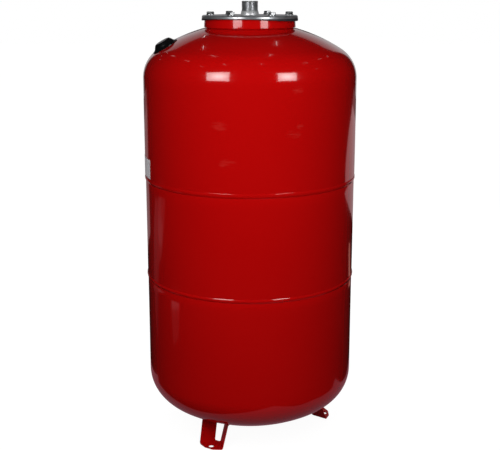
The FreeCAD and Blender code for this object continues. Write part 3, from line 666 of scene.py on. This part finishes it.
def white_floor(name, lit=0.10, seen_lit=0.12, mirrored=0.004):
    """Pale floor; lit lights the tank, seen_lit takes the shadow, mirrored is what gloss shows.

    The lift that makes it white grows from 0.955 near the tank to 1 farther out.
    """
    finish = Finish(name)
    x, y, z = finish.parts_of(finish.place())
    path = finish.node("LightPath").socket.node.outputs
    looked_at = Link(finish, path["Is Camera Ray"]) + Link(finish, path["Is Transmission Ray"])
    far = finish.fade((x * x + y * y) ** 0.5, 0.35, 0.9)
    under_tank = finish.node("BsdfDiffuse", {}, {"Color": (lit, lit, lit, 1.0)})
    shadowed = finish.node("BsdfDiffuse", {}, {"Color": (seen_lit, seen_lit, seen_lit, 1.0)})
    lift = finish.node("Emission", {}, {"Strength": 0.955 + 0.045 * far})
    white = finish.node("AddShader", {}, {0: shadowed, 1: lift})
    plain = finish.node("MixShader", {}, {0: looked_at, 1: under_tank, 2: white})
    dark = finish.node("Emission", {}, {"Strength": mirrored})
    in_gloss = Link(finish, path["Is Glossy Ray"])
    both = finish.node("MixShader", {}, {0: in_gloss, 1: plain, 2: dark})
    finish.node("OutputMaterial", {}, {"Surface": both})
    return finish.material


flat_cards("floor", [(-FLOOR_REACH, -FLOOR_REACH, 0), (FLOOR_REACH, -FLOOR_REACH, 0),
                     (FLOOR_REACH, FLOOR_REACH, 0), (-FLOOR_REACH, FLOOR_REACH, 0)],
           white_floor("floor_white"))


# ---- Studio in the gloss
# What the enamel and the plating mirror, and the camera doesn't see: paper on the floor behind, a
# stand under the tank, streaks of light, the backdrop, tubes under the ceiling and two panels.
PAPER_TINT, STAND_TINT = (1.5, 1.0, 1.04, 1.0), (2.6, 1.0, 1.25, 1.0)
STREAK_TINT, RIGHT_STREAK_TINT = (2.4, 1.0, 1.1, 1.0), (2.6, 1.0, 0.8, 1.0)
BACKDROP_TINT = (1.05, 1.0, 1.02, 1.0)
JUST_ABOVE = 0.001                                # height of a patch above what it lies on
CEILING, TUBE_HALF_WIDTH, TUBE_HALF_SHARE = 3.0, 0.008, 0.38
PANEL_EDGE, PANEL_PEAK, PANEL_REACH = 4.5, 9.0, 0.16
X, Z = 0, 2                                       # axes along which a glow fades


def glow(name, strength, colour=(1.0, 1.0, 1.0, 1.0), hot_spot=None, fading=None):
    """A surface that only shines.

    hot_spot is a middle, the brighter strength there and its reach. fading is an axis, where along
    it the strength starts to change, where that stops, and the strength there.
    """
    finish = Finish(name)
    if hot_spot:
        middle, peak, reach = hot_spot
        away = finish.node("VectorMath", {"operation": "DISTANCE"},
                           {0: finish.place(), 1: middle}, output=1)
        strength = strength + (peak - strength) * (1.0 - finish.fade(away, 0.0, reach))
    if fading:
        axis, start, stop, end = fading
        along = finish.parts_of(finish.place())[axis]
        strength = strength + (end - strength) * finish.fade(along, start, stop, smooth=False)
    shine = finish.node("Emission", {}, {"Color": colour, "Strength": strength})
    finish.node("OutputMaterial", {}, {"Surface": shine})
    return finish.material


def on_floor(name, outline, material, height=JUST_ABOVE):
    """A patch that only the gloss shows: its outline (x, y) at a height above the floor."""
    flat_cards(name, [(x, y, height) for x, y in outline], material, seen=False)


on_floor("paper", [(-0.5, 1.22), (-0.85, 1.30), (-1.1, 1.26), (-1.2, 1.4), (-1.3, 1.55),
                   (-1.42, 1.75), (-1.75, 2.25), (-2.2, 2.8), (-3.5, 4.6), (3.62, 4.6),
                   (3.35, 2.9), (3.0, 2.2), (2.75, 1.83), (2.42, 1.52), (1.95, 1.33),
                   (1.54, 1.5), (1.08, 1.63), (0.6, 1.65)],
         glow("paper_glow", 0.135, PAPER_TINT, fading=(X, -1.2, 2.6, 0.266)))
on_floor("paper_back", [(-3.5, 4.6), (-4.1, 5.95), (3.9, 5.95), (3.62, 4.6)],
         glow("paper_back_glow", 0.08, PAPER_TINT))
on_floor("stand", [(-0.42, 0.10), (-0.33, -0.02), (-0.25, -0.11), (-0.16, -0.18),
                   (-0.07, -0.26), (0.0, -0.31), (0.08, -0.36), (0.14, -0.39), (0.20, -0.26),
                   (0.29, -0.20), (0.35, -0.12), (0.46, 0.0), (0.37, 0.08), (0.32, 0.3),
                   (-0.3, 0.3)],
         glow("stand_glow", 0.08, STAND_TINT))
on_floor("streak_wide", [(-2.5, 0.95), (-2.5, 0.45), (-1.9, 0.42), (-1.4, 0.43), (-1.25, 0.52),
                         (-0.95, 0.42), (-0.6, 0.22), (-0.75, 0.45), (-0.95, 0.68),
                         (-1.2, 0.85), (-1.45, 1.05), (-1.75, 1.15), (-2.0, 1.25), (-2.1, 1.0)],
         glow("streak_wide_glow", 0.036, STREAK_TINT, fading=(X, -1.5, -0.8, 0.015)))
on_floor("streak_core", [(-1.95, 0.68), (-1.85, 0.5), (-1.5, 0.46), (-1.48, 0.6),
                         (-1.62, 0.78), (-2.05, 0.9), (-2.45, 0.93), (-2.4, 0.78),
                         (-2.1, 0.72)],
         glow("streak_core_glow", 0.056, STREAK_TINT, fading=(X, -2.0, -1.8, 0.08)),
         height=2 * JUST_ABOVE)
on_floor("streak_near", [(-1.09, -0.04), (-0.98, -0.04), (-0.7, -0.1), (-0.75, -0.2),
                         (-0.98, -0.24), (-1.09, -0.24)],
         glow("streak_near_glow", 0.14, STREAK_TINT, fading=(X, -1.0, -0.96, 0.03)))
on_floor("streak_right", [(0.58, 0.86), (0.72, 0.98), (0.92, 1.2), (1.05, 1.14), (1.0, 1.03),
                          (0.83, 0.86), (0.7, 0.74)],
         glow("streak_right_glow", 0.15, RIGHT_STREAK_TINT))

flat_cards("backdrop_gap", [(-0.9, 5.9, 0), (0.9, 5.9, 0), (0.9, 5.9, 1.7), (-0.9, 5.9, 1.7)],
           glow("backdrop_gap_glow", 0.02), seen=False)
flat_cards("backdrop", [(-2.5, 6, 0), (2.7, 6, 0), (2.45, 6, 1.5), (2.75, 6, 3.4),
                        (2.6, 6, 4.25), (-2.8, 6, 4.7), (-2.85, 6, 3.4)],
           glow("backdrop_pale", 0.40, BACKDROP_TINT, fading=(Z, 2.2, 4.6, 0.14)), seen=False)

# Each tube is its middle (x, y) and its length.
tubes = np.array([(-0.94, 3.3, 0.63), (-0.92, 1.72, 0.43), (-0.8, 0.57, 0.64),
                  (-0.85, -0.93, 0.37), (0.51, 1.6, 0.5), (0.42, 0.5, 0.59), (0.38, -0.95, 0.3),
                  (-1.98, 0.45, 0.53), (-1.97, -0.88, 0.38), (-2.06, 2.05, 0.73),
                  (-2.13, 3.6, 0.5), (-2.79, 4.1, 0.5), (-3.5, 3.68, 0.5), (1.87, -0.1, 0.5),
                  (2.07, 1.12, 0.5), (2.13, 2.16, 0.5), (3.53, -0.3, 0.5)])
across, along = np.array([-1, -1, 1, 1]), np.array([-1, 1, 1, -1])
tube_corners = np.stack([tubes[:, :1] + TUBE_HALF_WIDTH * across,
                         tubes[:, 1:2] + tubes[:, 2:] * TUBE_HALF_SHARE * along,
                         CEILING + 0 * tubes[:, :1] * across], -1)
flat_cards("ceiling_tubes", tube_corners, glow("tube_glow", 2.6), seen=False)

flat_cards("panel_left", [(-0.518, -0.542, 1.154), (-0.250, -0.673, 1.216),
                          (-0.279, -0.828, 0.905), (-0.551, -0.667, 0.890)],
           glow("panel_glow_left", PANEL_EDGE,
                hot_spot=((-0.39, -0.69, 1.05), PANEL_PEAK, PANEL_REACH)), seen=False)
flat_cards("panel_right", [(0.343, -0.665, 1.174), (0.549, -0.512, 1.141),
                           (0.590, -0.627, 0.886), (0.375, -0.789, 0.895)],
           glow("panel_glow_right", PANEL_EDGE,
                hot_spot=((0.46, -0.65, 1.03), PANEL_PEAK, PANEL_REACH)), seen=False)


# ---- Lights
# A broad lamp in front and a weaker one behind, which light the tank at a plain level and are
# kept out of its gloss.
AIM = np.array([0.0, -0.2, 0.70])


def area_light(name, azimuth, elevation, distance, width, height, power):
    """Broad lamp, so far from AIM; azimuth in degrees from the front towards +X."""
    data = bpy.data.lights.new(name, "AREA")
    data.shape = "RECTANGLE"
    data.size, data.size_y, data.energy = width, height, power
    data.cycles.use_multiple_importance_sampling = False
    lamp = bpy.data.objects.new(name, data)
    a, e = math.radians(azimuth), math.radians(elevation)
    out = np.array([math.sin(a) * math.cos(e), -math.cos(a) * math.cos(e), math.sin(e)])
    lamp.location = AIM + distance * out
    lamp.rotation_euler = (math.pi / 2 - e, 0.0, a)
    bpy.context.scene.collection.objects.link(lamp)
    lamp.visible_camera = False
    lamp.visible_glossy = False


area_light("front_light", azimuth=-0.9, elevation=22.4, distance=1.0, width=2.9, height=1.0,
           power=21.9)
area_light("back_light", azimuth=180.0, elevation=18.0, distance=2.0, width=3.6, height=1.0,
           power=28.0)


# ---- Room
# Everything beyond the cards: a dim room that fills the shadows, darker still in the gloss, and
# white where it is looked at.
ROOM_FILL, ROOM_MIRRORED, ROOM_LOOKED_AT = 0.065, 0.004, 1.0
world = bpy.data.worlds.new("room")
bpy.context.scene.world = world
world.use_nodes = True
room = world.node_tree
room.nodes.clear()
light_path = room.nodes.new("ShaderNodeLightPath")
shades = []
for strength in (ROOM_FILL, ROOM_MIRRORED, ROOM_LOOKED_AT):
    shade = room.nodes.new("ShaderNodeBackground")
    shade.inputs["Color"].default_value = (1.0, 1.0, 1.0, 1.0)
    shade.inputs["Strength"].default_value = strength
    shades.append(shade.outputs[0])
mirrored = room.nodes.new("ShaderNodeMixShader")
room.links.new(light_path.outputs["Is Glossy Ray"], mirrored.inputs[0])
room.links.new(shades[0], mirrored.inputs[1])
room.links.new(shades[1], mirrored.inputs[2])
looked_at = room.nodes.new("ShaderNodeMixShader")
room.links.new(light_path.outputs["Is Camera Ray"], looked_at.inputs[0])
room.links.new(mirrored.outputs[0], looked_at.inputs[1])
room.links.new(shades[2], looked_at.inputs[2])
room_out = room.nodes.new("ShaderNodeOutputWorld")
room.links.new(looked_at.outputs[0], room_out.inputs[0])

bpy.context.scene.view_settings.view_transform = "Standard"
